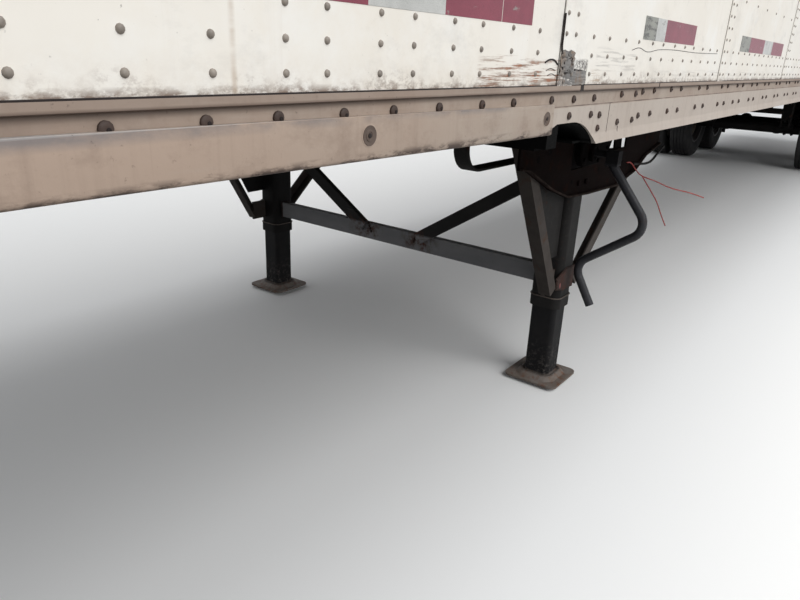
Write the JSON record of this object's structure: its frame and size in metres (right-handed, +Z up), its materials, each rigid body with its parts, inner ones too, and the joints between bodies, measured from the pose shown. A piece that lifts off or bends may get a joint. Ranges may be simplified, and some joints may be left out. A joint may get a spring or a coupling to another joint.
{
  "type": "dry van semi trailer",
  "caption": "Long white dry van semi trailer with riveted side panels, reflective tape, twin-leg landing gear and a twin-wheel tandem, parked on its legs",
  "frame": {"origin": "on the ground below the middle of the overall box", "axes": "+X to the front (coupler end), +Y to the left side, +Z up"},
  "size_m": [16.27, 2.619, 4.115],
  "materials": {
    "aluminium": "mill finish, dirty",
    "amber_lens": "gloss",
    "black_rubber": "matt",
    "brown_steel": "reddish brown, rusty",
    "dark_steel": "dark paint with rust",
    "floor_wood": "laminated hardwood",
    "frame_steel": "dark grey paint",
    "galvanised": "galvanised",
    "red_lens": "gloss",
    "tyre": "matt",
    "wheel_white": "gloss",
    "white_panel": "semi-gloss white skin",
    "worn_steel": "worn and rusty"
  },
  "bodies": {
    "trailer": {"air_tanks": "dark_steel", "axle_front": "dark_steel", "axle_rear": "dark_steel", "bottom_rail_left": "aluminium", "bottom_rail_right": "aluminium", "brake_chambers": "frame_steel", "crank_drive": "dark_steel", "crossmembers": "frame_steel", "dock_bumpers": "black_rubber", "door_fittings": "frame_steel", "equalizers": "dark_steel", "floor": "floor_wood", "front_frame": "aluminium", "front_wall": "white_panel", "guard_strap": "dark_steel", "landing_leg_left": "dark_steel", "landing_leg_right": "dark_steel", "leaf_springs": "dark_steel", "leg_braces": "dark_steel", "leg_foot_left": "worn_steel", "leg_foot_right": "worn_steel", "leg_struts": "dark_steel", "marker_lamps": "amber_lens", "mud_flaps": "black_rubber", "nose_box": "frame_steel", "radius_rods": "frame_steel", "rail_guard_left": "aluminium", "rail_guard_right": "aluminium", "rear_frame": "frame_steel", "roof": "aluminium", "roof_bows": "aluminium", "side_wall_left": "white_panel", "side_wall_right": "white_panel", "spring_hangers": "frame_steel", "tail_lamps": "red_lens", "tandem_frame": "frame_steel", "top_rail_left": "aluminium", "top_rail_right": "aluminium", "underride_guard": "frame_steel", "upper_coupler": "frame_steel", "wing_plates": "brown_steel"},
    "door_left_body": {"door_gear_left": "galvanised", "door_left": "white_panel"},
    "door_right_body": {"door_gear_right": "galvanised", "door_right": "white_panel"},
    "wheels_front_left": {"tyres_front_left": "tyre", "wheel_front_left": "wheel_white"},
    "wheels_front_right": {"tyres_front_right": "tyre", "wheel_front_right": "wheel_white"},
    "wheels_rear_left": {"tyres_rear_left": "tyre", "wheel_rear_left": "wheel_white"},
    "wheels_rear_right": {"tyres_rear_right": "tyre", "wheel_rear_right": "wheel_white"}
  },
  "joints": [
    {"name": "wheels_front_left_spin", "type": "hinge", "parent": "trailer", "child": "wheels_front_left", "pos_m": [-3.778, 0.984, 0.505], "axis": [0, 1, 0], "continuous": true},
    {"name": "wheels_front_right_spin", "type": "hinge", "parent": "trailer", "child": "wheels_front_right", "pos_m": [-3.778, -0.984, 0.505], "axis": [0, 1, 0], "continuous": true},
    {"name": "wheels_rear_left_spin", "type": "hinge", "parent": "trailer", "child": "wheels_rear_left", "pos_m": [-5.023, 0.984, 0.505], "axis": [0, 1, 0], "continuous": true},
    {"name": "wheels_rear_right_spin", "type": "hinge", "parent": "trailer", "child": "wheels_rear_right", "pos_m": [-5.023, -0.984, 0.505], "axis": [0, 1, 0], "continuous": true},
    {"name": "door_left_hinge", "type": "hinge", "parent": "trailer", "child": "door_left_body", "pos_m": [-8.123, 1.2975, 2.6155], "axis": [0, 0, 1], "range_deg": [-270, 0]},
    {"name": "door_right_hinge", "type": "hinge", "parent": "trailer", "child": "door_right_body", "pos_m": [-8.123, -1.2975, 2.6155], "axis": [0, 0, 1], "range_deg": [0, 270]}
  ]
}
